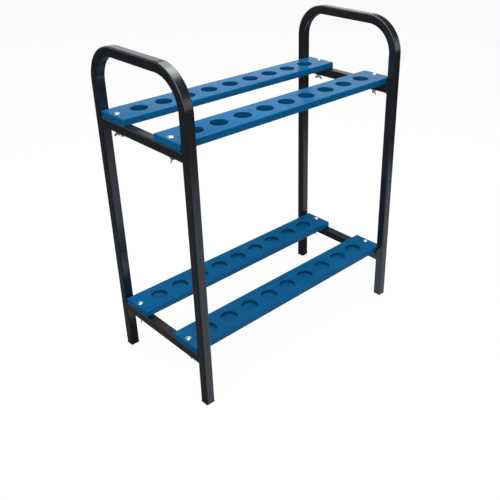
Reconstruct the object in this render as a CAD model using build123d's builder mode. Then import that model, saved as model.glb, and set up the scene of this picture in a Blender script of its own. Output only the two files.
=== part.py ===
"""Floor-standing rack for upright tubes: two bent end frames carry two tiers of drilled boards.

Frame of the model, in millimetres: X runs along the boards, -Y is the front, +Z is up, and the origin
is on the floor at the middle of the rack. The upper boards are drilled right through and the lower
boards have shallow seats on the same axes, so a tube dropped through the top stands upright.
"""

import os
from math import cos, radians, sin, sqrt

from build123d import *

# End frames: square tube bent to an inverted U, with two welded cross rails.
rack_height = 886.0  # floor to the top of the bent tube
frame_spacing = 712.0  # between the middles of the two end frames
leg_spacing = 351.0  # between the middles of the front and back legs
tube_size = 25.0
tube_wall = 1.5
tube_corner = 3.0
bend_radius = 87.5  # to the middle of the tube
lower_rail_top = 150.0
handle_rise = 185.0  # from the top of the upper rails to the top of the bent tube
weld_leg = 3.5  # each side of a corner bead's section
weld_crown = 0.3  # how far a side bead stands proud of the tube

# Boards.
board_thickness = 18.0
board_width = 96.0
board_leg_gap = 5.0  # between a board's long edge and the legs beside it
board_edge_radius = 1.2
socket_diameter = 44.0  # the holes that the tubes stand in
socket_count = 9
socket_margin = 64.0  # from the middle of an end frame to the first socket's centre
seat_depth = 9.0
seat_clearance = 0.5  # a seat's radius over that of the hole above it
socket_rim = 0.6

# Foot plugs, pushed into the open leg ends.
plug_rim_height = 3.0
plug_rim_overhang = 0.5
plug_rim_chamfer = 0.8
plug_stem_height = 16.0
plug_stem_wall = 2.0
plug_stem_step = 0.8  # from the ribs down to the stem between them
plug_rib_height = 1.5
plug_rib_count = 3
plug_clearance = 0.1

# Carriage bolts, each with a flat washer and a wing nut.
bolt_diameter = 5.9
bolt_hole_clearance = 0.3
bolt_head_diameter = 16.0
bolt_head_height = 3.4
bolt_head_rim = 0.7
bolt_neck_step = 0.25  # from the shank out to the flat of the square neck
bolt_neck_depth = 4.0
bolt_neck_clearance = 0.05
bolt_end_chamfer = 0.8
thread_showing = 3.4  # below the wing nut when it is tight
washer_diameter = 18.0
washer_thickness = 1.6
washer_clearance = 0.25
nut_running_clearance = 0.05
nut_base_wall = 3.3  # from the nut's bore out to the edge of its base
nut_top_wall = 2.0
nut_height = 7.0
nut_base_rim = 1.2
wing_reach_out = 7.0  # from the edge of the nut's base to the tip of a wing
wing_reach_along = 6.5  # from the end of the nut's body to the tip of a wing
wing_thickness = 2.2
wing_tip_radius = 3.2

# How far each wing nut has been turned when it is tight, in degrees from the X axis.
wing_turns = {
    "upper_front_left": 34.0,
    "upper_back_left": 118.0,
    "upper_front_right": 62.0,
    "upper_back_right": 95.0,
    "lower_front_left": 71.0,
    "lower_back_left": 40.0,
    "lower_front_right": 148.0,
    "lower_back_right": 28.0,
}

# Worked out from the sizes above.
tube_half = tube_size / 2
tube_inside = tube_size - 2 * tube_wall
tube_inside_corner = tube_corner - tube_wall
rail_length = leg_spacing - tube_size
rail_half = rail_length / 2
board_length = frame_spacing + tube_size
board_middle = rail_half - board_leg_gap - board_width / 2  # distance from the middle plane
hole_radius = socket_diameter / 2
seat_radius = hole_radius + seat_clearance
socket_pitch = (frame_spacing - 2 * socket_margin) / (socket_count - 1)
bolt_radius = bolt_diameter / 2
bolt_hole_radius = bolt_radius + bolt_hole_clearance
bolt_neck_width = bolt_diameter + 2 * bolt_neck_step
bolt_length = board_thickness + tube_size + washer_thickness + nut_height + thread_showing

frame_x = {"left": -frame_spacing / 2, "right": frame_spacing / 2}
leg_y = {"front": -leg_spacing / 2, "back": leg_spacing / 2}
board_y = {"front": -board_middle, "back": board_middle}
rail_top = {"lower": lower_rail_top, "upper": rack_height - handle_rise}


def tube_section():
    """Adds the square tube's hollow section to the sketch that is open."""
    RectangleRounded(tube_size, tube_size, tube_corner)
    RectangleRounded(tube_inside, tube_inside, tube_inside_corner, mode=Mode.SUBTRACT)


def hoop(x):
    """One end frame's bent tube: up a leg, over the top and down the other leg."""
    with BuildPart() as part:
        with BuildLine(Plane.YZ.offset(x)):
            FilletPolyline(
                (leg_y["front"], plug_rim_height),
                (leg_y["front"], rack_height - tube_half),
                (leg_y["back"], rack_height - tube_half),
                (leg_y["back"], plug_rim_height),
                radius=bend_radius,
            )
        with BuildSketch(Plane((x, leg_y["front"], plug_rim_height))):
            tube_section()
        sweep()
    return part


def cross_rail(x, top):
    """A straight tube between the legs, drilled for the bolts that hold the boards."""
    with BuildPart() as part:
        with BuildSketch(Plane.XZ):
            with Locations((x, top - tube_half)):
                tube_section()
        extrude(amount=rail_half, both=True)
        with Locations(*[(x, y, top) for y in board_y.values()]):
            Hole(bolt_hole_radius, depth=tube_size)
    return part


def weld_beads(x):
    """The beads all round each rail end, where it meets the flat of a leg."""
    flat_half = tube_half - tube_corner
    with BuildPart() as part:
        for top in rail_top.values():
            for side in (-1, 1):
                wall = side * rail_half
                for face, out in ((top, 1), (top - tube_size, -1)):
                    corner = (wall, face)
                    toe = (wall, face + out * weld_leg)
                    heel = (wall - side * weld_leg, face)
                    bulge = (wall - side * 0.6 * weld_leg, face + out * 0.6 * weld_leg)
                    with BuildSketch(Plane.YZ.offset(x)):
                        with BuildLine():
                            Line(corner, toe)
                            ThreePointArc(toe, bulge, heel)
                            Line(heel, corner)
                        make_face()
                    extrude(amount=flat_half, both=True)
                for out in (-1, 1):
                    # The groove between the rail's flat end and the leg's round corner.
                    inner = (x + out * flat_half, wall)
                    edge = (x + out * tube_half, wall)
                    crown = (x + out * (tube_half + weld_crown), wall + side * tube_corner / 2)
                    outer = (x + out * tube_half, wall + side * tube_corner)
                    sag = tube_corner / sqrt(2)
                    middle = (inner[0] + out * sag, outer[1] - side * sag)
                    with BuildSketch(Plane.XY.offset(top - tube_half)):
                        with BuildLine():
                            Line(inner, edge)
                            ThreePointArc(edge, crown, outer)
                            ThreePointArc(outer, middle, inner)
                        make_face()
                    extrude(amount=flat_half, both=True)
    return part


def foot_plug(x, y):
    """A plastic plug whose ribbed hollow stem grips the inside of a leg."""
    rim_width = tube_size + 2 * plug_rim_overhang
    rib_width = tube_inside - 2 * plug_clearance
    stem_width = rib_width - 2 * plug_stem_step
    hollow_width = stem_width - 2 * plug_stem_wall
    rib_pitch = (plug_stem_height - plug_rib_height) / plug_rib_count
    with BuildPart() as part:
        with BuildSketch(Plane((x, y, 0))):
            RectangleRounded(rim_width, rim_width, tube_corner + plug_rim_overhang)
        extrude(amount=plug_rim_height)
        chamfer(part.faces().sort_by(Axis.Z)[0].edges(), plug_rim_chamfer)
        with BuildSketch(Plane((x, y, plug_rim_height))):
            RectangleRounded(stem_width, stem_width, tube_inside_corner)
        extrude(amount=plug_stem_height)
        for rib in range(1, plug_rib_count + 1):
            with BuildSketch(Plane((x, y, plug_rim_height + rib * rib_pitch))):
                RectangleRounded(rib_width, rib_width, tube_inside_corner)
            extrude(amount=plug_rib_height)
        with BuildSketch(Plane((x, y, plug_rim_height))):
            RectangleRounded(hollow_width, hollow_width, tube_inside_corner / 2)
        extrude(amount=plug_stem_height, mode=Mode.SUBTRACT)
    return part


def board(y, bottom, socket_radius, socket_depth):
    """A board with a row of round sockets, and a square-necked bolt hole over each rail."""
    top = bottom + board_thickness
    neck_hole = bolt_neck_width + 2 * bolt_neck_clearance
    with BuildPart() as part:
        with BuildSketch(Plane((0, y, bottom))):
            Rectangle(board_length, board_width)
        extrude(amount=board_thickness)
        fillet(part.edges(), board_edge_radius)
        with BuildSketch(Plane((0, y, top))):
            with GridLocations(socket_pitch, 0, socket_count, 1):
                Circle(socket_radius)
        extrude(amount=-socket_depth, mode=Mode.SUBTRACT)
        rims = part.edges(Select.LAST).filter_by(GeomType.CIRCLE)
        if socket_depth < board_thickness:
            rims = rims.group_by(Axis.Z)[-1]
        chamfer(rims, socket_rim)
        with Locations(*[(x, y, top) for x in frame_x.values()]):
            Hole(bolt_hole_radius, depth=board_thickness)
        with BuildSketch(Plane((0, y, top))):
            with Locations(*[(x, 0) for x in frame_x.values()]):
                Rectangle(neck_hole, neck_hole)
        extrude(amount=-bolt_neck_depth - bolt_neck_clearance, mode=Mode.SUBTRACT)
    return part


def upright(x, y, z, turn=0.0):
    """A vertical plane through a fastener's axis, with its origin at (x, y, z), turned about that axis."""
    angle = radians(turn)
    return Plane((x, y, z), x_dir=(cos(angle), sin(angle), 0), z_dir=(sin(angle), -cos(angle), 0))


def carriage_bolt(x, y, seat):
    """A domed bolt with a square neck; the head sits on the board and the thread points down."""
    rim = (bolt_head_diameter / 2, bolt_head_rim)
    crown = (0, bolt_head_height)
    with BuildPart() as part:
        with BuildSketch(upright(x, y, seat)):
            with BuildLine():
                Polyline(crown, (0, 0), (bolt_head_diameter / 2, 0), rim)
                TangentArc(crown, rim, tangent=(1, 0))
            make_face()
        revolve(axis=Axis((x, y, seat), (0, 0, 1)))
        with BuildSketch(Plane((x, y, seat))):
            Rectangle(bolt_neck_width, bolt_neck_width)
        extrude(amount=-bolt_neck_depth)
        with BuildSketch(Plane((x, y, seat))):
            Circle(bolt_radius)
        extrude(amount=-bolt_length)
        chamfer(part.edges().sort_by(Axis.Z)[0], bolt_end_chamfer)
    return part


def washer(x, y, top):
    with BuildPart() as part:
        with BuildSketch(Plane((x, y, top))):
            Circle(washer_diameter / 2)
            Circle(bolt_radius + washer_clearance, mode=Mode.SUBTRACT)
        extrude(amount=-washer_thickness)
    return part


def wing_nut(x, y, top, turn):
    """A wing nut with its flat base up against the washer and its two wings hanging below."""
    bore = bolt_radius + nut_running_clearance
    base = bore + nut_base_wall
    neck = bore + nut_top_wall
    root = (bore + neck) / 2  # the wings run into the wall of the body as far as this
    tip = base + wing_reach_out
    low = -nut_height - wing_reach_along
    ear = (tip - wing_tip_radius, low + wing_tip_radius)  # the middle of the round wing tip
    with BuildPart() as part:
        with BuildSketch(upright(x, y, top)):
            with BuildLine():
                Polyline(
                    (bore, 0),
                    (base, 0),
                    (base, -nut_base_rim),
                    (neck, -nut_height),
                    (bore, -nut_height),
                    close=True,
                )
            make_face()
        revolve(axis=Axis((x, y, top), (0, 0, 1)))
        with BuildSketch(upright(x, y, top, turn)):
            with BuildLine():
                Polyline(
                    (ear[0] - wing_tip_radius, ear[1]),
                    (neck, -nut_height),
                    (root, -nut_height),
                    (root, -nut_base_rim),
                    (base, -nut_base_rim),
                    (tip, ear[1]),
                )
                ThreePointArc((tip, ear[1]), (ear[0], low), (ear[0] - wing_tip_radius, ear[1]))
            make_face()
            mirror(about=Plane.YZ)
        extrude(amount=wing_thickness / 2, both=True)
    return part


def write(part, name):
    part.part.label = name
    export_step(part.part, f"parts/{name}.step")


os.makedirs("parts", exist_ok=True)

for side, x in frame_x.items():
    write(hoop(x), f"{side}_hoop")
    write(weld_beads(x), f"{side}_weld_beads")
    for tier, top in rail_top.items():
        write(cross_rail(x, top), f"{side}_{tier}_rail")
    for end, y in leg_y.items():
        write(foot_plug(x, y), f"{side}_{end}_foot_plug")

for tier, bottom in rail_top.items():
    under = bottom - tube_size
    seat = bottom + board_thickness
    for end, y in board_y.items():
        if tier == "upper":
            write(board(y, bottom, hole_radius, board_thickness), f"{tier}_{end}_board")
        else:
            write(board(y, bottom, seat_radius, seat_depth), f"{tier}_{end}_board")
        for side, x in frame_x.items():
            place = f"{tier}_{end}_{side}"
            write(carriage_bolt(x, y, seat), f"{place}_bolt")
            write(washer(x, y, under), f"{place}_washer")
            write(wing_nut(x, y, under - washer_thickness, wing_turns[place]), f"{place}_wing_nut")
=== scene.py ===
import math
import random

import bmesh
import bpy
from mathutils import Euler, Matrix, Vector


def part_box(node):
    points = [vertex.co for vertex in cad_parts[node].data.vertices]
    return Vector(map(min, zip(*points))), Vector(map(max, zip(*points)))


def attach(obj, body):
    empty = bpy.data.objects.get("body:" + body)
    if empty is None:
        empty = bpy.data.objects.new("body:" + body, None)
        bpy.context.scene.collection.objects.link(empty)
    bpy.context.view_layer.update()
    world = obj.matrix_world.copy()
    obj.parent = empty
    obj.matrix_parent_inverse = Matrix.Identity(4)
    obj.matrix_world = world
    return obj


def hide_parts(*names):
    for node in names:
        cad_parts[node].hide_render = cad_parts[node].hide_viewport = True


# Floor-standing rack for upright tubes, in metres.
# X runs along the boards, -Y is the front, +Z is up.
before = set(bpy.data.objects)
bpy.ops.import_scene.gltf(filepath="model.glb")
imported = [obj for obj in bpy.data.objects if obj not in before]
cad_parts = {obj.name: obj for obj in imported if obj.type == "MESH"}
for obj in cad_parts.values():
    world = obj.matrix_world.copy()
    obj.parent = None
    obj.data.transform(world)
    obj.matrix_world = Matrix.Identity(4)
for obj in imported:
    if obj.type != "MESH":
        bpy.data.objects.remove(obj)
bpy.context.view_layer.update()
random.seed(7)

frameSides = ("left", "right")
boardRows = ("front", "back")
boardTiers = ("upper", "lower")
sameLevel = 0.00001  # how near counts as the same height
samePlace = 0.0001  # and as the same place

cameraView = {
    "place": (-1.1476, -1.2875, 1.2539),
    "turn": 45.515,  # degrees from straight back towards the right
    "tilt": -26.97,
    "roll": 0.234,
    "lens": 48.5,
    "shift": (-0.10, -0.085),
    "sensor": 36.0,
    "farthest": 50.0,
}


def addCamera():
    cameraData = bpy.data.cameras.new("rackCamera")
    cameraData.sensor_width = cameraView["sensor"]
    cameraData.lens = cameraView["lens"]
    cameraData.shift_x, cameraData.shift_y = cameraView["shift"]
    cameraData.clip_end = cameraView["farthest"]
    camera = bpy.data.objects.new("rackCamera", cameraData)
    bpy.context.scene.collection.objects.link(camera)
    angles = (math.radians(90 + cameraView["tilt"]), 0, math.radians(-cameraView["turn"]))
    aim = Euler(angles).to_matrix()
    roll = Matrix.Rotation(math.radians(cameraView["roll"]), 3, "Z")
    camera.matrix_world = Matrix.Translation(cameraView["place"]) @ (aim @ roll).to_4x4()
    bpy.context.scene.camera = camera


addCamera()
print("camera placed")


def deselectAll():
    if bpy.context.object and bpy.context.object.mode != "OBJECT":
        bpy.ops.object.mode_set(mode="OBJECT")
    bpy.ops.object.select_all(action="DESELECT")


def makeActive(piece):
    deselectAll()
    piece.select_set(True)
    bpy.context.view_layer.objects.active = piece


def startPiece(name):
    # the primitive that was just added, with its place put into its mesh
    piece = bpy.context.object
    piece.name = name
    piece.data.name = name
    bpy.ops.object.transform_apply(location=True, rotation=True, scale=True)
    return piece


def editMode(selectMode="FACE"):
    bpy.ops.object.mode_set(mode="EDIT")
    bpy.ops.mesh.select_mode(type=selectMode)
    bpy.ops.mesh.select_all(action="DESELECT")


def objectMode():
    bpy.ops.object.mode_set(mode="OBJECT")


def pickFaces(test):
    mesh = bmesh.from_edit_mesh(bpy.context.object.data)
    for face in mesh.faces:
        face.select_set(bool(test(face.calc_center_median(), face.normal)))
    bmesh.update_edit_mesh(bpy.context.object.data)


def pickEdges(test):
    mesh = bmesh.from_edit_mesh(bpy.context.object.data)
    for edge in mesh.edges:
        edge.select_set(bool(test(edge.verts[0].co, edge.verts[1].co)))
    bmesh.update_edit_mesh(bpy.context.object.data)


def pickVerts(test):
    mesh = bmesh.from_edit_mesh(bpy.context.object.data)
    for vert in mesh.verts:
        vert.select_set(bool(test(vert.co)))
    mesh.select_flush_mode()
    bmesh.update_edit_mesh(bpy.context.object.data)


def pushOut(x=0.0, y=0.0, z=0.0):
    bpy.ops.mesh.extrude_region_move(TRANSFORM_OT_translate={"value": (x, y, z)})


def scaleAbout(centre, x=1.0, y=1.0, z=1.0):
    bpy.ops.transform.resize(value=(x, y, z), center_override=centre)


def applyModifier(piece, kind, **settings):
    makeActive(piece)
    bpy.ops.object.modifier_add(type=kind)
    modifier = piece.modifiers[-1]
    for setting, value in settings.items():
        setattr(modifier, setting, value)
    bpy.ops.object.modifier_apply(modifier=modifier.name)


def drill(piece, places, radius, low, high, sides):
    # round holes straight down through the piece
    for x, y in places:
        deselectAll()
        bpy.ops.mesh.primitive_cylinder_add(
            vertices=sides, radius=radius, depth=high - low, location=(x, y, (high + low) / 2)
        )
        cutter = startPiece("cutter")
        applyModifier(piece, "BOOLEAN", operation="DIFFERENCE", object=cutter, solver="EXACT")
        bpy.data.objects.remove(cutter)


def joinPieces(first, others):
    makeActive(first)
    for other in others:
        other.select_set(True)
    bpy.ops.object.join()
    return first


def smoothPiece(piece, angle=32):
    makeActive(piece)
    bpy.ops.object.mode_set(mode="EDIT")
    bpy.ops.mesh.select_all(action="SELECT")
    bpy.ops.mesh.normals_make_consistent(inside=False)
    objectMode()
    bpy.ops.object.shade_smooth_by_angle(angle=math.radians(angle))
    applyModifier(piece, "WEIGHTED_NORMAL", keep_sharp=True)


def copyPiece(master, name, place, turn=0.0):
    piece = master.copy()
    piece.data = master.data.copy()
    piece.name = name
    piece.data.name = name
    bpy.context.scene.collection.objects.link(piece)
    piece.data.transform(Matrix.Translation(place) @ Matrix.Rotation(turn, 4, "Z"))
    return piece


def finishPiece(piece, material, slot, body, *nodes):
    piece.data.materials.clear()
    piece.data.materials.append(material)
    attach(piece, body)
    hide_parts(*nodes)


def newMaterial(name):
    material = bpy.data.materials.new(name)
    material.use_nodes = True
    nodes = material.node_tree.nodes
    nodes.clear()
    output = nodes.new("ShaderNodeOutputMaterial")
    shader = nodes.new("ShaderNodeBsdfPrincipled")
    material.node_tree.links.new(shader.outputs["BSDF"], output.inputs["Surface"])
    return material, shader


def addNode(tree, kind, links=None, **settings):
    # links maps an input's name or number to a value or to another node's output
    node = tree.nodes.new(kind)
    for setting, value in settings.items():
        setattr(node, setting, value)
    for key, value in (links or {}).items():
        if isinstance(value, bpy.types.NodeSocket):
            tree.links.new(value, node.inputs[key])
        else:
            node.inputs[key].default_value = value
    return node


def math2(tree, operation, a, b=0.0):
    return addNode(tree, "ShaderNodeMath", {0: a, 1: b}, operation=operation).outputs[0]


def plus(tree, a, b):
    return math2(tree, "ADD", a, b)


def minus(tree, a, b):
    return math2(tree, "SUBTRACT", a, b)


def times(tree, a, b):
    return math2(tree, "MULTIPLY", a, b)


def mixColor(tree, amount, a, b):
    node = addNode(tree, "ShaderNodeMix", data_type="RGBA")
    for index, value in ((0, amount), (6, a), (7, b)):
        if isinstance(value, bpy.types.NodeSocket):
            tree.links.new(value, node.inputs[index])
        else:
            node.inputs[index].default_value = value
    return node.outputs[2]


def stretch(tree, value, low, high, toLow=0.0, toHigh=1.0):
    # a smooth step up from low to high, or down where low is the larger
    links = {"Value": value, "From Min": low, "From Max": high, "To Min": toLow, "To Max": toHigh}
    node = addNode(tree, "ShaderNodeMapRange", links, interpolation_type="SMOOTHSTEP")
    return node.outputs["Result"]


def noise(tree, vector, scale, detail=3.0, roughness=0.5, distortion=0.0):
    links = {"Vector": vector, "Scale": scale, "Detail": detail, "Roughness": roughness}
    node = addNode(tree, "ShaderNodeTexNoise", links)
    node.inputs["Distortion"].default_value = distortion
    return node.outputs["Fac"]


def newGroup(name, inputs, outputs):
    tree = bpy.data.node_groups.new(name, "ShaderNodeTree")
    for socketName, kind, default in inputs:
        socket = tree.interface.new_socket(name=socketName, in_out="INPUT", socket_type=kind)
        if default is not None:
            socket.default_value = default
    for socketName, kind in outputs:
        tree.interface.new_socket(name=socketName, in_out="OUTPUT", socket_type=kind)
    return tree, tree.nodes.new("NodeGroupInput").outputs, tree.nodes.new("NodeGroupOutput").inputs


def useGroup(tree, group, links):
    node = tree.nodes.new("ShaderNodeGroup")
    node.node_tree = group
    for key, value in links.items():
        if isinstance(value, bpy.types.NodeSocket):
            tree.links.new(value, node.inputs[key])
        else:
            node.inputs[key].default_value = value
    return node.outputs


def objectCoords(tree, scale=(1.0, 1.0, 1.0)):
    coords = tree.nodes.new("ShaderNodeTexCoord").outputs["Object"]
    return addNode(tree, "ShaderNodeMapping", {"Vector": coords, "Scale": scale}).outputs["Vector"]


def upwards(tree):
    # the height of the surface's normal, 1 on what faces up and -1 on what faces down
    normal = tree.nodes.new("ShaderNodeNewGeometry").outputs["Normal"]
    return addNode(tree, "ShaderNodeSeparateXYZ", {0: normal}).outputs["Z"]


wearShape = {
    "bevelSamples": 4,
    "corner": (0.995, 0.90),  # cosines of the turn that the wear starts and is full at
    "noise": (4.0, 0.6),  # detail and roughness
    "patches": (0.42, 0.68),
}


def makeEdgeWear():
    # 1 on a worn corner, 0 on a flat; the noise breaks the line up
    inputs = [
        ("Vector", "NodeSocketVector", None),
        ("Width", "NodeSocketFloat", 0.001),
        ("Breakup", "NodeSocketFloat", 90.0),
    ]
    tree, given, result = newGroup("edgeWear", inputs, [("Mask", "NodeSocketFloat")])
    bevel = addNode(tree, "ShaderNodeBevel", {"Radius": given["Width"]}, samples=wearShape["bevelSamples"])
    normal = tree.nodes.new("ShaderNodeNewGeometry").outputs["Normal"]
    links = {0: bevel.outputs["Normal"], 1: normal}
    facing = addNode(tree, "ShaderNodeVectorMath", links, operation="DOT_PRODUCT").outputs["Value"]
    corner = stretch(tree, facing, *wearShape["corner"])
    broken = noise(tree, given["Vector"], given["Breakup"], *wearShape["noise"])
    patches = stretch(tree, broken, *wearShape["patches"])
    tree.links.new(times(tree, corner, patches), result["Mask"])
    return tree


dustShape = {
    "patchNoise": (14.0, 5.0, 0.65),  # scale, detail and roughness
    "patches": (0.35, 0.75),
    "speckNoise": (900.0, 2.0, 0.5),
    "specks": (0.55, 0.75),
    "speckShare": 0.6,
    "facing": (0.55, 0.98),  # how far up a face looks before dust stays on it
}


def makeDust():
    # fine dust on what faces up, thinner where the noise is low
    inputs = [("Vector", "NodeSocketVector", None), ("Amount", "NodeSocketFloat", 0.2)]
    tree, given, result = newGroup("dust", inputs, [("Mask", "NodeSocketFloat")])
    patches = noise(tree, given["Vector"], *dustShape["patchNoise"])
    patches = stretch(tree, patches, *dustShape["patches"])
    specks = noise(tree, given["Vector"], *dustShape["speckNoise"])
    specks = stretch(tree, specks, *dustShape["specks"])
    settled = times(tree, stretch(tree, upwards(tree), *dustShape["facing"]), patches)
    share = dustShape["speckShare"]
    grain = plus(tree, times(tree, specks, share), 1 - share)
    tree.links.new(times(tree, times(tree, settled, grain), given["Amount"]), result["Mask"])
    return tree


scuffShape = {
    "directions": ((0.35, (38.0, 900.0, 900.0)), (-0.8, (30.0, 760.0, 760.0))),  # turn, scale
    "lineNoise": (1.0, 1.0, 0.4),
    "lines": (0.72, 0.78),
    "patchNoise": (11.0, 3.0, 0.6),
    "patches": (0.5, 0.7),
}


def makeScuffs():
    # short fine scratches in two directions
    inputs = [("Vector", "NodeSocketVector", None), ("Density", "NodeSocketFloat", 0.5)]
    tree, given, result = newGroup("scuffs", inputs, [("Mask", "NodeSocketFloat")])
    masks = []
    for turn, scale in scuffShape["directions"]:
        links = {"Vector": given["Vector"], "Rotation": (0, 0, turn), "Scale": scale}
        turned = addNode(tree, "ShaderNodeMapping", links).outputs["Vector"]
        line = noise(tree, turned, *scuffShape["lineNoise"])
        masks.append(stretch(tree, line, *scuffShape["lines"]))
    lines = math2(tree, "MAXIMUM", masks[0], masks[1])
    patches = noise(tree, given["Vector"], *scuffShape["patchNoise"])
    patches = stretch(tree, patches, *scuffShape["patches"])
    tree.links.new(times(tree, times(tree, lines, patches), given["Density"]), result["Mask"])
    return tree


edgeWear = makeEdgeWear()
dust = makeDust()
scuffs = makeScuffs()


def wornEdges(tree, coords, look):
    width, breakup, strength = look["wear"]
    mask = useGroup(tree, edgeWear, {"Vector": coords, "Width": width, "Breakup": breakup})["Mask"]
    return times(tree, mask, strength)


def settledDust(tree, coords, look):
    return useGroup(tree, dust, {"Vector": coords, "Amount": look["dust"]})["Mask"]


def scratches(tree, coords, look):
    return useGroup(tree, scuffs, {"Vector": coords, "Density": look["scuffs"]})["Mask"]


def linkRoughness(tree, shader, look, patches, settled=None):
    low, high = look["roughness"]
    rough = stretch(tree, patches, 0.3, 0.7, low, high)
    if settled is not None:
        rough = plus(tree, rough, times(tree, settled, look["dustRoughness"]))
    tree.links.new(rough, shader.inputs["Roughness"])


def linkBump(tree, shader, look, height):
    strength, depth = look["bump"]
    bump = addNode(tree, "ShaderNodeBump", {"Height": height, "Strength": strength, "Distance": depth})
    tree.links.new(bump.outputs["Normal"], shader.inputs["Normal"])


board = {
    "edge": 0.0019,
    "edgeSteps": 4,
    "rim": 0.0010,
    "rimSteps": 3,
    "socketCount": 9,
    "socketMargin": 0.064,  # from the middle of an end frame to the first socket
    "holeRadius": 0.022,
    "seatRadius": 0.0225,
    "seatDepth": 0.009,
    "sides": 72,
    "boltHole": 0.00325,
    "boltHoleSides": 24,
    "drillPast": 0.005,  # beyond the faces
    "rimEdge": 0.3,  # edges round a hole are shorter than this share of its radius
    "smoothAngle": 40,
}


def boltAxis(tier, row, side):
    boltLow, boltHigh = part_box(f"{tier}_{row}_{side}_bolt")
    return (boltLow.x + boltHigh.x) / 2, (boltLow.y + boltHigh.y) / 2


def socketPlaces(tier, row):
    leftLow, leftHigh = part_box("left_hoop")
    rightLow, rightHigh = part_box("right_hoop")
    low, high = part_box(f"{tier}_{row}_board")
    first = (leftLow.x + leftHigh.x) / 2 + board["socketMargin"]
    last = (rightLow.x + rightHigh.x) / 2 - board["socketMargin"]
    pitch = (last - first) / (board["socketCount"] - 1)
    middleY = (low.y + high.y) / 2
    return [(first + pitch * number, middleY) for number in range(board["socketCount"])]


powderLook = {
    "color": (0.0050, 0.0058, 0.0074, 1),
    "lift": 1.35,  # the lighter patches against the colour
    "patches": (22.0, 4.0, 0.6),  # scale, detail and roughness of the noise
    "worn": (0.050, 0.053, 0.058, 1),
    "wear": (0.0012, 70.0, 0.55),  # width, break-up and strength
    "dusty": (0.21, 0.205, 0.195, 1),
    "dust": 0.05,
    "dustRoughness": 0.5,
    "scuffs": 0.35,
    "roughness": (0.20, 0.27),
    "peel": (480.0, 2.0, 0.45),  # ripples of the coat
    "bump": (0.5, 0.00012),  # strength and depth
    "ior": 1.5,
    "specular": 0.66,
}


def makePowderCoat():
    material, shader = newMaterial("blackPowderCoat")
    tree = material.node_tree
    coords = objectCoords(tree)
    mottled = noise(tree, coords, *powderLook["patches"])
    settled = settledDust(tree, coords, powderLook)
    deep = powderLook["color"]
    lifted = tuple(channel * powderLook["lift"] for channel in deep[:3]) + (1,)
    color = mixColor(tree, mottled, deep, lifted)
    color = mixColor(tree, wornEdges(tree, coords, powderLook), color, powderLook["worn"])
    color = mixColor(tree, scratches(tree, coords, powderLook), color, powderLook["worn"])
    color = mixColor(tree, settled, color, powderLook["dusty"])
    tree.links.new(color, shader.inputs["Base Color"])
    linkRoughness(tree, shader, powderLook, mottled, settled)
    linkBump(tree, shader, powderLook, noise(tree, coords, *powderLook["peel"]))
    shader.inputs["IOR"].default_value = powderLook["ior"]
    shader.inputs["Specular IOR Level"].default_value = powderLook["specular"]
    return material


paintLook = {
    "color": (0.0022, 0.088, 0.222, 1),
    "thin": (0.0035, 0.112, 0.270, 1),
    "thinPatches": (0.35, 0.65),
    "patches": (9.0, 4.0, 0.6),  # scale, detail and roughness of the noise
    "grain": ((2.2, 75.0, 75.0), (1.0, 5.0, 0.62, 0.6)),  # how it is drawn out, and its noise
    "grainShare": 0.6,
    "pores": ((26.0, 1150.0, 1150.0), (1.0, 2.0, 0.5)),
    "poreEdge": (0.62, 0.74),
    "poreDepth": 0.5,
    "worn": (0.10, 0.26, 0.46, 1),
    "wear": (0.0014, 60.0, 0.5),  # width, break-up and strength
    # the glue lines' colour, also used for the painted shade round the sockets
    "ply": (0.0010, 0.045, 0.120, 1),
    "plyPitch": 0.0036,
    "plyStart": 0.150,  # the height of a glue line
    "plyWander": 0.0011,
    "plyNoise": ((9.0, 9.0, 60.0), (1.0, 3.0, 0.55)),
    "plyWidth": (0.35, 0.95),
    "plyColor": 0.26,
    "plyDepth": 0.5,
    # the rim line's reach and strength: painted shade round each socket
    "rimReach": (0.0205, 0.0219, 0.0233, 0.0243),  # from a socket's axis
    "rimShade": 0.62,
    "dusty": (0.42, 0.45, 0.47, 1),
    "dust": 0.012,
    "dustRoughness": 0.6,
    "scuffs": 0.16,
    "roughness": (0.13, 0.21),
    "bump": (0.35, 0.00025),  # strength and depth
    "ior": 1.5,
    "specular": 0.07,
}


def stretchedNoise(tree, key):
    scale, settings = paintLook[key]
    return noise(tree, objectCoords(tree, scale), *settings)


def plyLines(tree, coords):
    # the glue lines between the plies, faint through the paint on the sides and in the holes
    wander = minus(tree, stretchedNoise(tree, "plyNoise"), 0.5)
    level = addNode(tree, "ShaderNodeSeparateXYZ", {0: coords}).outputs["Z"]
    level = minus(tree, level, paintLook["plyStart"])
    level = plus(tree, level, times(tree, wander, paintLook["plyWander"]))
    wave = math2(tree, "SINE", times(tree, level, 2 * math.pi / paintLook["plyPitch"]))
    lines = stretch(tree, wave, *paintLook["plyWidth"])
    flatness = math2(tree, "ABSOLUTE", upwards(tree))
    return times(tree, lines, stretch(tree, flatness, 0.5, 0.15))


def rimShade(tree, coords):
    # painted shade: a darker line round each socket, on the rim and in a seat's corner, where shade falls
    places = socketPlaces("lower", "back")
    pitch, last = places[1][0] - places[0][0], board["socketCount"] // 2
    split = addNode(tree, "ShaderNodeSeparateXYZ", {0: coords})
    number = math2(tree, "ROUND", math2(tree, "DIVIDE", split.outputs["X"], pitch))
    number = math2(tree, "MAXIMUM", math2(tree, "MINIMUM", number, last), -last)
    alongX = minus(tree, split.outputs["X"], times(tree, number, pitch))
    alongY = minus(tree, math2(tree, "ABSOLUTE", split.outputs["Y"]), places[0][1])
    offset = addNode(tree, "ShaderNodeCombineXYZ", {"X": alongX, "Y": alongY}).outputs[0]
    away = addNode(tree, "ShaderNodeVectorMath", {0: offset}, operation="LENGTH").outputs["Value"]
    inner, full, fade, outer = paintLook["rimReach"]
    line = times(tree, stretch(tree, away, inner, full), stretch(tree, away, outer, fade))
    line = times(tree, line, stretch(tree, upwards(tree), -0.6, -0.2))  # none underneath
    return times(tree, line, paintLook["rimShade"])


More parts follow.
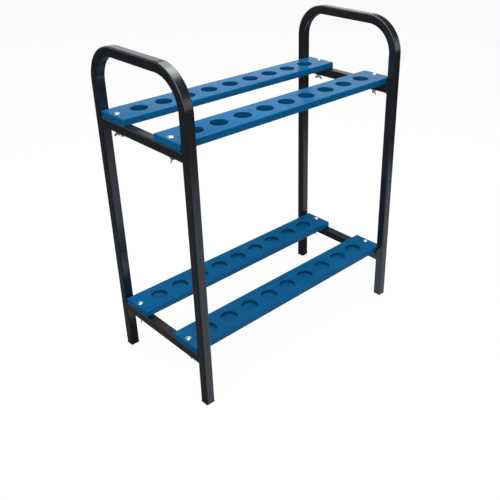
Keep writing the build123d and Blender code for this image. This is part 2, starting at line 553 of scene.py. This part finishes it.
def makeBluePaint():
    material, shader = newMaterial("bluePaint")
    tree = material.node_tree
    coords = objectCoords(tree)
    grain = stretchedNoise(tree, "grain")
    pores = stretch(tree, stretchedNoise(tree, "pores"), *paintLook["poreEdge"])
    mottled = noise(tree, coords, *paintLook["patches"])
    settled = settledDust(tree, coords, paintLook)
    share = paintLook["grainShare"]
    shade = plus(tree, times(tree, grain, share), times(tree, mottled, 1 - share))
    shade = stretch(tree, shade, *paintLook["thinPatches"])
    color = mixColor(tree, shade, paintLook["color"], paintLook["thin"])
    plies = plyLines(tree, coords)
    color = mixColor(tree, times(tree, plies, paintLook["plyColor"]), color, paintLook["ply"])
    # painted shade round each socket, in the glue lines' colour
    color = mixColor(tree, rimShade(tree, coords), color, paintLook["ply"])
    color = mixColor(tree, wornEdges(tree, coords, paintLook), color, paintLook["worn"])
    color = mixColor(tree, scratches(tree, coords, paintLook), color, paintLook["worn"])
    color = mixColor(tree, settled, color, paintLook["dusty"])
    tree.links.new(color, shader.inputs["Base Color"])
    linkRoughness(tree, shader, paintLook, mottled, settled)
    height = minus(tree, grain, times(tree, pores, paintLook["poreDepth"]))
    height = minus(tree, height, times(tree, plies, paintLook["plyDepth"]))
    linkBump(tree, shader, paintLook, height)
    shader.inputs["IOR"].default_value = paintLook["ior"]
    shader.inputs["Specular IOR Level"].default_value = paintLook["specular"]
    return material


zincLook = {
    "color": (0.66, 0.70, 0.745, 1),
    "dull": (0.50, 0.535, 0.575, 1),
    "clouds": (260.0, 4.0, 0.6),  # scale, detail and roughness of the noise
    "cloudEdge": (0.35, 0.65),
    "warm": (0.60, 0.59, 0.55, 1),
    "stains": (120.0, 3.0, 0.5),
    "stainEdge": (0.55, 0.75),
    "stainStrength": 0.35,
    "worn": (0.86, 0.87, 0.88, 1),
    "wear": (0.0003, 500.0, 0.6),  # width, break-up and strength
    "roughness": (0.34, 0.46),
    "pits": (2400.0, 2.0, 0.5),
    "bump": (0.3, 0.00004),  # strength and depth
}


def makeZinc():
    material, shader = newMaterial("zincPlate")
    tree = material.node_tree
    coords = objectCoords(tree)
    clouds = noise(tree, coords, *zincLook["clouds"])
    stains = stretch(tree, noise(tree, coords, *zincLook["stains"]), *zincLook["stainEdge"])
    dulled = stretch(tree, clouds, *zincLook["cloudEdge"])
    color = mixColor(tree, dulled, zincLook["color"], zincLook["dull"])
    color = mixColor(tree, times(tree, stains, zincLook["stainStrength"]), color, zincLook["warm"])
    color = mixColor(tree, wornEdges(tree, coords, zincLook), color, zincLook["worn"])
    tree.links.new(color, shader.inputs["Base Color"])
    linkRoughness(tree, shader, zincLook, clouds)
    linkBump(tree, shader, zincLook, noise(tree, coords, *zincLook["pits"]))
    shader.inputs["Metallic"].default_value = 1.0
    return material


plasticLook = {
    "color": (0.010, 0.010, 0.011, 1),
    "pale": (0.017, 0.017, 0.018, 1),
    "patches": (45.0, 3.0, 0.6),  # scale, detail and roughness of the noise
    "rubbed": (0.075, 0.074, 0.072, 1),
    "wear": (0.0006, 160.0, 0.6),  # width, break-up and strength
    "dusty": (0.21, 0.205, 0.195, 1),
    "dust": 0.3,
    "roughness": (0.48, 0.6),
    "moulded": (1500.0, 2.0, 0.5),
    "bump": (0.4, 0.00006),  # strength and depth
}


def makeBlackPlastic():
    material, shader = newMaterial("blackPlastic")
    tree = material.node_tree
    coords = objectCoords(tree)
    mottled = noise(tree, coords, *plasticLook["patches"])
    color = mixColor(tree, mottled, plasticLook["color"], plasticLook["pale"])
    color = mixColor(tree, wornEdges(tree, coords, plasticLook), color, plasticLook["rubbed"])
    color = mixColor(tree, settledDust(tree, coords, plasticLook), color, plasticLook["dusty"])
    tree.links.new(color, shader.inputs["Base Color"])
    linkRoughness(tree, shader, plasticLook, mottled)
    linkBump(tree, shader, plasticLook, noise(tree, coords, *plasticLook["moulded"]))
    return material


powderCoat = makePowderCoat()
bluePaint = makeBluePaint()
zincPlate = makeZinc()
blackPlastic = makeBlackPlastic()
print("materials made")


tube = {
    "corner": 0.003,
    "cornerSteps": 5,
    "wall": 0.0015,
    "bend": 0.0875,  # to the middle of the tube
    "bendSteps": 30,
    "dish": 0.0005,  # how far the outer wall sinks in a bend
    "dishShares": (0.05, 0.10, 0.15, 0.20, 0.20, 0.15, 0.10, 0.05),
    "dishStep": 0.067,  # each share starts this much further into the bend
    "dishDepth": 0.0015,  # what lies this near the outside counts as the outer wall
    "sideCuts": 3,
    "mergeWithin": 0.00002,
    "boltHole": 0.00325,
    "boltHoleSides": 32,
    "drillPast": 0.01,
}


def addTubeSection(name, size, centre, rotation=(0, 0, 0)):
    # a flat rounded square, with a few points along each side for the dishing of the bends
    deselectAll()
    bpy.ops.mesh.primitive_plane_add(size=size, location=centre, rotation=rotation)
    piece = startPiece(name)
    editMode("VERT")
    bpy.ops.mesh.select_all(action="SELECT")
    bpy.ops.mesh.bevel(offset=tube["corner"], segments=tube["cornerSteps"], affect="VERTICES")
    flat = size - 2 * tube["corner"]
    bpy.ops.mesh.select_mode(type="EDGE")
    pickEdges(lambda a, b: (a - b).length > flat * 0.9)
    bpy.ops.mesh.subdivide(number_cuts=tube["sideCuts"])
    bpy.ops.mesh.select_mode(type="FACE")
    bpy.ops.mesh.select_all(action="SELECT")
    return piece


def openTube(piece, isEnd):
    # takes the end faces away and gives the tube its wall
    editMode("FACE")
    pickFaces(isEnd)
    bpy.ops.mesh.delete(type="FACE")
    bpy.ops.mesh.select_all(action="SELECT")
    bpy.ops.mesh.normals_make_consistent(inside=False)
    objectMode()
    applyModifier(piece, "SOLIDIFY", thickness=tube["wall"], offset=-1.0, use_even_offset=True)


def dishBends(piece, centreX, pivots, outerRadius):
    # bending draws the outer wall in, most of all along its middle
    nearWall = outerRadius - tube["dishDepth"]
    halfBend = 45
    for number, share in enumerate(tube["dishShares"]):
        inFrom = tube["dishStep"] * (number + 0.5)
        editMode("VERT")

        def onOuterWall(co):
            for pivotY, pivotZ, side in pivots:
                away = Vector(((co.y - pivotY) * side, co.z - pivotZ))
                angle = math.degrees(math.atan2(away.y, away.x))
                along = 1 - abs(angle - halfBend) / halfBend  # 0 where the bend starts, 1 at its middle
                across = 1 - abs(co.x - centreX) / (outerRadius - tube["bend"])
                if away.length > nearWall and along > inFrom and across > inFrom:
                    return True
            return False

        pickVerts(onOuterWall)
        bpy.ops.transform.shrink_fatten(value=-tube["dish"] * share)
        objectMode()


def makeHoop(side):
    low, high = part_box(f"{side}_hoop")
    size = high.x - low.x
    middleX = (low.x + high.x) / 2
    frontY, backY = low.y + size / 2, high.y - size / 2
    bend = tube["bend"]
    bendZ = high.z - size / 2 - bend
    piece = addTubeSection(f"{side}HoopShaped", size, (middleX, frontY, low.z))
    pushOut(z=bendZ - low.z)
    quarter = math.radians(90)
    turn = {"steps": tube["bendSteps"], "angle": quarter, "axis": (1, 0, 0)}
    bpy.ops.mesh.spin(center=(middleX, frontY + bend, bendZ), **turn)
    pushOut(y=backY - frontY - 2 * bend)
    bpy.ops.mesh.spin(center=(middleX, backY - bend, bendZ), **turn)
    pushOut(z=low.z - bendZ)
    bpy.ops.mesh.select_all(action="SELECT")
    bpy.ops.mesh.remove_doubles(threshold=tube["mergeWithin"])
    objectMode()
    pivots = ((frontY + bend, bendZ, -1), (backY - bend, bendZ, 1))
    makeActive(piece)
    editMode("FACE")
    bpy.ops.mesh.select_all(action="SELECT")
    bpy.ops.mesh.normals_make_consistent(inside=False)
    objectMode()
    dishBends(piece, middleX, pivots, bend + size / 2)
    openTube(piece, lambda centre, normal: abs(normal.z) > 0.99 and centre.z < low.z + 0.001)
    smoothPiece(piece)
    finishPiece(piece, powderCoat, "black_powder_coat", "rack", f"{side}_hoop")


def makeRail(side, tier):
    low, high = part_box(f"{side}_{tier}_rail")
    size = high.x - low.x
    middle = (low + high) / 2
    name = f"{side}{tier.capitalize()}Rail"
    section = (middle.x, low.y, middle.z)
    piece = addTubeSection(name, size, section, (math.radians(90), 0, 0))
    pushOut(y=high.y - low.y)
    objectMode()
    makeActive(piece)
    openTube(piece, lambda centre, normal: abs(normal.y) > 0.99)
    places = [boltAxis(tier, row, side) for row in boardRows]
    past = tube["drillPast"]
    drill(piece, places, tube["boltHole"], low.z - past, high.z + past, tube["boltHoleSides"])
    smoothPiece(piece)
    finishPiece(piece, powderCoat, "black_powder_coat", "rack", f"{side}_{tier}_rail")


for side in frameSides:
    makeHoop(side)
    for tier in boardTiers:
        makeRail(side, tier)
print("end frames made")


weld = {
    "reach": 0.0034,  # from the corner out along each tube
    "ripples": 13,  # in the width of a tube
    "rippleDepth": 0.07,  # of the bead's radius
    "unevenness": 0.05,
    "endRadius": 0.72,  # the bead's first and last rings against the rest
    "sides": 20,
    "seamRadius": 0.0020,
    "seamInset": 0.0016,
    "seamSink": 0.0008,
    "smoothAngle": 60,
}


def addBead(start, end, radius):
    # a rod along the joint, drawn in and out ring by ring
    deselectAll()
    along = end - start
    bpy.ops.mesh.primitive_cylinder_add(
        vertices=weld["sides"],
        radius=radius,
        depth=along.length,
        location=(start + end) / 2,
        rotation=along.to_track_quat("Z", "Y").to_euler(),
    )
    piece = startPiece("bead")
    rings = 2 * weld["ripples"]
    direction = along.normalized()
    nearRing = along.length / (rings + 1) * 0.3
    editMode("EDGE")
    pickEdges(lambda a, b: abs((a - b).length - along.length) < samePlace)
    bpy.ops.mesh.subdivide(number_cuts=rings)
    bpy.ops.mesh.select_mode(type="VERT")
    for ring in range(rings + 2):
        place = start + along * ring / (rings + 1)
        pickVerts(lambda co: abs((co - place).dot(direction)) < nearRing)
        wave = 1 - weld["rippleDepth"] * (ring % 2) + random.uniform(-1, 1) * weld["unevenness"]
        if ring in (0, rings + 1):
            wave = weld["endRadius"]
        bpy.ops.transform.resize(value=(wave, wave, wave), center_override=place)
    objectMode()
    return piece


def makeWelds(side):
    hoopLow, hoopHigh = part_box(f"{side}_hoop")
    size = hoopHigh.x - hoopLow.x
    middleX = (hoopLow.x + hoopHigh.x) / 2
    reach = Vector((size / 2 - tube["corner"], 0, 0))
    beads = []
    for tier in boardTiers:
        low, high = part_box(f"{side}_{tier}_rail")
        for wallY, inward in ((low.y, 1), (high.y, -1)):
            for faceZ in (low.z, high.z):
                corner = Vector((middleX, wallY, faceZ))
                beads.append(addBead(corner - reach, corner + reach, weld["reach"]))
            for out in (-1, 1):
                seamX = middleX + out * (size / 2 - weld["seamInset"])
                seam = Vector((seamX, wallY - inward * weld["seamSink"], low.z))
                lower = seam + Vector((0, 0, tube["corner"]))
                upper = seam + Vector((0, 0, size - tube["corner"]))
                beads.append(addBead(lower, upper, weld["seamRadius"]))
    piece = joinPieces(beads[0], beads[1:])
    piece.name = piece.data.name = f"{side}WeldBeads"
    smoothPiece(piece, weld["smoothAngle"])
    finishPiece(piece, powderCoat, "black_powder_coat", "rack", f"{side}_weld_beads")


plug = {
    "edge": 0.0009,
    "stemStep": 0.0009,
    "stemHeight": 0.016,
    "ribs": 3,
    "ribHeight": 0.0015,
    "wall": 0.002,
    "clearance": 0.0001,
    "floor": 0.0005,
    "cornerSteps": 8,
    "edgeSteps": 4,
    "rimEdge": 0.0003,
    "rimEdgeSteps": 2,
    "rimReach": 0.0042,  # the rim's corners end this far in from its sides
    "smoothAngle": 40,
}


def makeFootPlug(side, row):
    low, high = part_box(f"{side}_{row}_foot_plug")
    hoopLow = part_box(f"{side}_hoop")[0]
    middle = (low + high) / 2
    width = high.x - low.x
    rimTop = hoopLow.z
    deselectAll()
    bpy.ops.mesh.primitive_plane_add(size=width, location=(middle.x, middle.y, low.z))
    piece = startPiece(f"{side}{row.capitalize()}FootPlug")
    editMode("VERT")
    bpy.ops.mesh.select_all(action="SELECT")
    overhang = (width - (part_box(f"{side}_hoop")[1].x - hoopLow.x)) / 2
    corner = tube["corner"] + overhang
    bpy.ops.mesh.bevel(offset=corner, segments=plug["cornerSteps"], affect="VERTICES")
    bpy.ops.mesh.select_mode(type="FACE")
    bpy.ops.mesh.select_all(action="SELECT")
    pushOut(z=rimTop - low.z)
    # the top face steps in to the stem, then out and in again at each rib
    ribWidth = width - 2 * (overhang + tube["wall"] + plug["clearance"])
    stemWidth = ribWidth - 2 * plug["stemStep"]
    centre = (middle.x, middle.y, rimTop)
    bpy.ops.mesh.inset(thickness=(width - stemWidth) / 2)
    ribPitch = (plug["stemHeight"] - plug["ribHeight"]) / plug["ribs"]
    wide, narrow = ribWidth / stemWidth, stemWidth / ribWidth
    for rib in range(plug["ribs"]):
        pushOut(z=ribPitch - (plug["ribHeight"] if rib else 0))
        pushOut()
        scaleAbout(centre, wide, wide)
        pushOut(z=plug["ribHeight"])
        if rib < plug["ribs"] - 1:
            pushOut()
            scaleAbout(centre, narrow, narrow)
    bpy.ops.mesh.inset(thickness=plug["stemStep"] + plug["wall"])
    pushOut(z=-plug["stemHeight"] + plug["floor"])
    bpy.ops.mesh.select_mode(type="EDGE")
    pickEdges(lambda a, b: max(a.z, b.z) < low.z + samePlace)
    bpy.ops.mesh.bevel(offset=plug["edge"], segments=plug["edgeSteps"])

    def isRim(a, b):
        if min(a.z, b.z) <= rimTop - samePlace or max(a.z, b.z) >= rimTop + samePlace:
            return False
        if max(abs(a.x - middle.x), abs(a.y - middle.y)) <= width / 2 - plug["rimReach"]:
            return False
        reaches = [Vector((end.x - middle.x, end.y - middle.y)).length for end in (a, b)]
        return min(reaches) > width / 2 - samePlace

    pickEdges(isRim)
    bpy.ops.mesh.bevel(offset=plug["rimEdge"], segments=plug["rimEdgeSteps"])
    objectMode()
    smoothPiece(piece, plug["smoothAngle"])
    finishPiece(piece, blackPlastic, "black_plastic", "rack", f"{side}_{row}_foot_plug")


def makeBoard(tier, row):
    low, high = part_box(f"{tier}_{row}_board")
    deselectAll()
    bpy.ops.mesh.primitive_cube_add(size=1, location=(low + high) / 2, scale=high - low)
    piece = startPiece(f"{tier}{row.capitalize()}Board")
    editMode("EDGE")
    bpy.ops.mesh.select_all(action="SELECT")
    bpy.ops.mesh.bevel(offset=board["edge"], segments=board["edgeSteps"])
    objectMode()
    places = socketPlaces(tier, row)
    radius = board["holeRadius"] if tier == "upper" else board["seatRadius"]
    below, above = low.z - board["drillPast"], high.z + board["drillPast"]
    floorZ = below if tier == "upper" else high.z - board["seatDepth"]
    drill(piece, places, radius, floorZ, above, board["sides"])
    boltPlaces = [boltAxis(tier, row, side) for side in frameSides]
    drill(piece, boltPlaces, board["boltHole"], below, above, board["boltHoleSides"])

    def isRim(a, b):
        for end in (a, b):
            if abs(end.z - high.z) >= sameLevel and abs(end.z - low.z) >= sameLevel:
                return False
        for x, y in places:
            nearA = abs(math.hypot(a.x - x, a.y - y) - radius) < samePlace
            nearB = abs(math.hypot(b.x - x, b.y - y) - radius) < samePlace
            if nearA and nearB:
                return (a - b).length < radius * board["rimEdge"]
        return False

    makeActive(piece)
    editMode("EDGE")
    pickEdges(isRim)
    bpy.ops.mesh.bevel(offset=board["rim"], segments=board["rimSteps"])
    objectMode()
    smoothPiece(piece, board["smoothAngle"])
    finishPiece(piece, bluePaint, "blue_paint", "rack", f"{tier}_{row}_board")


for side in frameSides:
    makeWelds(side)
    for row in boardRows:
        makeFootPlug(side, row)
for tier in boardTiers:
    for row in boardRows:
        makeBoard(tier, row)
print("welds, plugs and boards made")


fastener = {
    "headRadius": 0.008,
    "headHeight": 0.0034,
    "headRim": 0.0007,
    "headEdge": 0.00025,
    "headSides": 48,
    "domeSteps": 9,
    "domeTop": 0.6,  # of a step, left flat at the top
    "neck": 0.0064,
    "neckDepth": 0.004,
    "shankRadius": 0.00295,
    "shankSides": 32,
    "rootRadius": 0.00245,
    "threadPitch": 0.001,
    "threadLength": 0.014,
    "boltLength": 0.055,
    "coreOverlap": 0.001,  # of the thread's core with the smooth shank
    "tipChamfer": 0.0005,
    "ridgeSink": 0.0002,  # of the ridge into the core
    "ridgeHalf": 0.52,  # of the pitch, half the ridge's height
    "ridgeStart": 0.0008,
    "threadRunOut": 0.0015,
    "turnSteps": 24,
    "washerRadius": 0.009,
    "washerHole": 0.0032,
    "washerThickness": 0.0016,
    "washerEdge": 0.0002,
    "washerSides": 56,
    "boreSides": 40,
    "shortEdge": 0.002,  # an edge round a rim is shorter than this
    "nutBore": 0.003,
    "nutBase": 0.0063,
    "nutRim": 0.0012,
    "nutTop": 0.0050,
    "nutHeight": 0.007,
    "nutEdge": 0.00035,
    "nutSides": 48,
    "smoothAngles": (35, 35, 40),  # bolt, washer, nut
}


def isRimEdge(a, b):
    return abs(a.z - b.z) < sameLevel and (a - b).length < fastener["shortEdge"]


def makeBoltMaster():
    # the seat under the head is at the origin
    deselectAll()
    radius, rim, height = fastener["headRadius"], fastener["headRim"], fastener["headHeight"]
    bpy.ops.mesh.primitive_cylinder_add(
        vertices=fastener["headSides"], radius=radius, depth=rim, location=(0, 0, rim / 2)
    )
    head = startPiece("boltMaster")
    editMode("FACE")
    pickFaces(lambda centre, normal: normal.z > 0.9)
    rise = height - rim
    domeRadius = (radius**2 + rise**2) / (2 * rise)
    reached, level = radius, 0.0
    for step in range(1, fastener["domeSteps"] + 1):
        nextRadius = radius * (1 - step / (fastener["domeSteps"] + fastener["domeTop"]))
        nextLevel = math.sqrt(domeRadius**2 - nextRadius**2) - (domeRadius - rise)
        pushOut(z=nextLevel - level)
        scaleAbout((0, 0, rim + nextLevel), nextRadius / reached, nextRadius / reached)
        reached, level = nextRadius, nextLevel
    bpy.ops.mesh.select_mode(type="EDGE")
    pickEdges(lambda a, b: max(a.z, b.z) < sameLevel and abs(a.length - radius) < samePlace)
    bpy.ops.mesh.bevel(offset=fastener["headEdge"], segments=3)
    objectMode()
    neck = fastener["neck"]
    deselectAll()
    place = (0, 0, -fastener["neckDepth"] / 2)
    bpy.ops.mesh.primitive_cube_add(size=1, location=place, scale=(neck, neck, fastener["neckDepth"]))
    square = startPiece("neck")
    deselectAll()
    smooth = fastener["boltLength"] - fastener["threadLength"]
    bpy.ops.mesh.primitive_cylinder_add(
        vertices=fastener["shankSides"],
        radius=fastener["shankRadius"],
        depth=smooth,
        location=(0, 0, -smooth / 2),
    )
    shank = startPiece("shank")
    return joinPieces(head, [square, shank, makeThread()])


def makeThread():
    # a core with a chamfered end, and one turn of thread ridge wound down it
    crest, root = fastener["shankRadius"], fastener["rootRadius"]
    pitch, length, end = fastener["threadPitch"], fastener["threadLength"], fastener["boltLength"]
    coreLength = length + fastener["coreOverlap"]
    deselectAll()
    bpy.ops.mesh.primitive_cylinder_add(
        vertices=fastener["shankSides"],
        radius=root,
        depth=coreLength,
        location=(0, 0, -end + coreLength / 2),
    )
    core = startPiece("threadCore")
    editMode("EDGE")
    pickEdges(lambda a, b: max(a.z, b.z) < -end + samePlace)
    bpy.ops.mesh.bevel(offset=fastener["tipChamfer"], segments=2)
    objectMode()
    deselectAll()
    bpy.ops.mesh.primitive_circle_add(vertices=3, radius=1, fill_type="NGON", location=(root, 0, -end))
    ridge = startPiece("ridge")
    editMode("VERT")
    sunk, half = root - fastener["ridgeSink"], fastener["ridgeHalf"]
    tips = ((crest, 0.0), (sunk, half), (sunk, -half))
    mesh = bmesh.from_edit_mesh(bpy.context.object.data)
    for vert, (out, up) in zip(mesh.verts, tips):
        vert.co = (out, 0, -end + fastener["ridgeStart"] + up * pitch)
    bmesh.update_edit_mesh(bpy.context.object.data)
    objectMode()
    applyModifier(
        ridge,
        "SCREW",
        angle=math.radians(360),
        screw_offset=pitch,
        iterations=int((length - fastener["threadRunOut"]) / pitch),
        steps=fastener["turnSteps"],
        render_steps=fastener["turnSteps"],
        use_merge_vertices=True,
        merge_threshold=sameLevel,
    )
    editMode("EDGE")
    bpy.ops.mesh.select_non_manifold()
    bpy.ops.mesh.fill()
    objectMode()
    return joinPieces(core, [ridge])


def makeWasherMaster():
    # its top face, against the rail, is at the origin
    deselectAll()
    thick = fastener["washerThickness"]
    bpy.ops.mesh.primitive_cylinder_add(
        vertices=fastener["washerSides"],
        radius=fastener["washerRadius"],
        depth=thick,
        location=(0, 0, -thick / 2),
    )
    piece = startPiece("washerMaster")
    drill(piece, [(0, 0)], fastener["washerHole"], -0.01, 0.01, fastener["boreSides"])
    makeActive(piece)
    editMode("EDGE")
    pickEdges(isRimEdge)
    bpy.ops.mesh.bevel(offset=fastener["washerEdge"], segments=2)
    objectMode()
    return piece


wing = {
    # where it leaves the nut's body, out from the axis and down from the seat
    "root": (0.0030, 0.0044),
    "block": (0.002, 0.0044, 0.0058),  # inside the body, along, thickness and height
    "lean": 40.7,  # degrees downwards
    "rounding": 3,
    "sections": (
        # along the wing from its root, height, thickness
        (0.0034, 0.0056, 0.0034),
        (0.0056, 0.0062, 0.0028),
        (0.0082, 0.0082, 0.0027),
        (0.0108, 0.0076, 0.0027),
        (0.0128, 0.0042, 0.0024),
    ),
}


def makeWing():
    # one wing, drawn out straight from a block inside the nut's body and then leant over
    out, down = wing["root"]
    deep, thick, height = wing["block"]
    reached = 0.0
    place = (out - deep / 2, 0, -down)
    deselectAll()
    bpy.ops.mesh.primitive_cube_add(size=1, location=place, scale=(deep, thick, height))
    piece = startPiece("wing")
    editMode("FACE")
    pickFaces(lambda centre, normal: normal.x > 0.9)
    for along, nextHeight, nextThick in wing["sections"]:
        pushOut(x=along - reached)
        scaleAbout((out + along, 0, -down), 1, nextThick / thick, nextHeight / height)
        reached, height, thick = along, nextHeight, nextThick
    bpy.ops.mesh.select_mode(type="VERT")
    pickVerts(lambda co: co.x > out + samePlace)
    lean = -math.radians(wing["lean"])
    bpy.ops.transform.rotate(value=lean, orient_axis="Y", center_override=(out, 0, -down))
    objectMode()
    applyModifier(piece, "SUBSURF", levels=wing["rounding"], render_levels=wing["rounding"])
    return piece


def makeNutMaster():
    # its seat, against the washer, is at the origin
    deselectAll()
    rim, height = fastener["nutRim"], fastener["nutHeight"]
    bpy.ops.mesh.primitive_cylinder_add(
        vertices=fastener["nutSides"],
        radius=fastener["nutBase"],
        depth=rim,
        location=(0, 0, -rim / 2),
    )
    body = startPiece("nutMaster")
    editMode("FACE")
    pickFaces(lambda centre, normal: normal.z < -0.9)
    pushOut(z=rim - height)
    shrink = fastener["nutTop"] / fastener["nutBase"]
    scaleAbout((0, 0, -height), shrink, shrink)
    bpy.ops.mesh.select_mode(type="EDGE")
    pickEdges(isRimEdge)
    bpy.ops.mesh.bevel(offset=fastener["nutEdge"], segments=3)
    objectMode()
    for turn in (0, 180):
        blade = makeWing()
        blade.data.transform(Matrix.Rotation(math.radians(turn), 4, "Z"))
        applyModifier(body, "BOOLEAN", operation="UNION", object=blade, solver="EXACT")
        bpy.data.objects.remove(blade)
    drill(body, [(0, 0)], fastener["nutBore"], -0.03, 0.01, fastener["boreSides"])
    return body


# how far each nut was turned when it was done up, in degrees
nutTurns = {
    "upper_front_left": 34,
    "upper_back_left": 118,
    "upper_front_right": 62,
    "upper_back_right": 95,
    "lower_front_left": 71,
    "lower_back_left": 40,
    "lower_front_right": 148,
    "lower_back_right": 28,
}


def placeFasteners():
    masters = (makeBoltMaster(), makeWasherMaster(), makeNutMaster())
    for master, angle in zip(masters, fastener["smoothAngles"]):
        smoothPiece(master, angle)
    boltMaster, washerMaster, nutMaster = masters
    for place, turn in nutTurns.items():
        boltLow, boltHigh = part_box(f"{place}_bolt")
        x, y = (boltLow.x + boltHigh.x) / 2, (boltLow.y + boltHigh.y) / 2
        seat = Vector((x, y, boltHigh.z - fastener["headHeight"]))
        under = Vector((x, y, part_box(f"{place}_washer")[1].z))
        onWasher = Vector((x, y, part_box(f"{place}_wing_nut")[1].z))
        name = "".join(word.capitalize() for word in place.split("_"))
        bolt = copyPiece(boltMaster, f"bolt{name}", seat)
        finishPiece(bolt, zincPlate, "zinc_plate", "rack", f"{place}_bolt")
        flat = copyPiece(washerMaster, f"washer{name}", under)
        finishPiece(flat, zincPlate, "zinc_plate", "rack", f"{place}_washer")
        nut = copyPiece(nutMaster, f"wingNut{name}", onWasher, math.radians(turn))
        finishPiece(nut, zincPlate, "zinc_plate", f"{place}_nut", f"{place}_wing_nut")
    for master in masters:
        bpy.data.objects.remove(master)


placeFasteners()
print("fasteners made")

studio = {
    "floorSize": 40.0,
    "floorColor": (0.11, 0.11, 0.11, 1),
    "floorSeenInGloss": (0.13, 0.135, 0.145, 1),
    "floorGlow": 0.92,
    "floorRoughness": 0.9,
    "floorSpecular": 0.1,
    "backdrop": (0.955, 0.975, 1.0, 1),
    "backdropSeen": (0.945, 0.945, 0.945, 1),
    "backdropStrength": 1.5,
    "backdropTop": (0.17, 0.41),  # sines of the heights that it fades between
    "above": 0.1,
}


def addStudio():
    deselectAll()
    bpy.ops.mesh.primitive_plane_add(size=studio["floorSize"])
    floor = startPiece("studioFloor")
    material, shader = newMaterial("paleFloor")
    tree = material.node_tree
    seen = tree.nodes.new("ShaderNodeLightPath").outputs["Is Camera Ray"]
    color = mixColor(tree, seen, studio["floorSeenInGloss"], studio["floorColor"])
    tree.links.new(color, shader.inputs["Base Color"])
    shader.inputs["Roughness"].default_value = studio["floorRoughness"]
    shader.inputs["Specular IOR Level"].default_value = studio["floorSpecular"]
    shader.inputs["Emission Color"].default_value = (1, 1, 1, 1)
    tree.links.new(times(tree, seen, studio["floorGlow"]), shader.inputs["Emission Strength"])
    floor.data.materials.append(material)


studioLights = {
    # place, point aimed at, width and height, watts, colour
    "keyLight": ((-1.2, -1.0, 2.2), (0, 0, 0.5), (1.8, 1.8), 44, (1, 1, 1)),
    "backLight": ((1.0, 1.0, 2.7), (0, 0, 0.5), (1.6, 1.6), 24, (1, 1, 1)),
    "topLight": ((0, 0, 1.9), (0, 0, 0), (1.3, 0.7), 14, (0.95, 1, 1)),
    "bounceCard": ((0.41, -0.62, 0.004), (0.41, -0.62, 1), (1.55, 1.34), 4.3, (0.78, 0.88, 1.0)),
}


def addLight(name, place, aim, size, power, color):
    lightData = bpy.data.lights.new(name, "AREA")
    lightData.shape = "RECTANGLE"
    lightData.size, lightData.size_y = size
    lightData.energy = power
    lightData.color = color
    light = bpy.data.objects.new(name, lightData)
    bpy.context.scene.collection.objects.link(light)
    light.location = place
    light.rotation_euler = (Vector(aim) - Vector(place)).to_track_quat("-Z", "Y").to_euler()
    light.visible_camera = False


def addWorld():
    # a bright backdrop up to a little over the rack's height, and a dim room above it
    world = bpy.data.worlds.new("studioWorld")
    bpy.context.scene.world = world
    world.use_nodes = True
    tree = world.node_tree
    direction = tree.nodes.new("ShaderNodeTexCoord").outputs["Generated"]
    height = addNode(tree, "ShaderNodeSeparateXYZ", {0: direction}).outputs["Z"]
    low, high = studio["backdropTop"]
    bright = stretch(tree, height, low, high, studio["backdropStrength"], studio["above"])
    seen = tree.nodes.new("ShaderNodeLightPath").outputs["Is Camera Ray"]
    unseen = minus(tree, 1.0, seen)
    strength = math2(tree, "MAXIMUM", times(tree, bright, unseen), seen)
    color = mixColor(tree, seen, studio["backdrop"], studio["backdropSeen"])
    background = tree.nodes["Background"]
    tree.links.new(color, background.inputs["Color"])
    tree.links.new(strength, background.inputs["Strength"])


addStudio()
addWorld()
for lightName, (place, aim, size, power, color) in studioLights.items():
    addLight(lightName, place, aim, size, power, color)
bpy.context.scene.view_settings.view_transform = "Standard"
print("studio made")
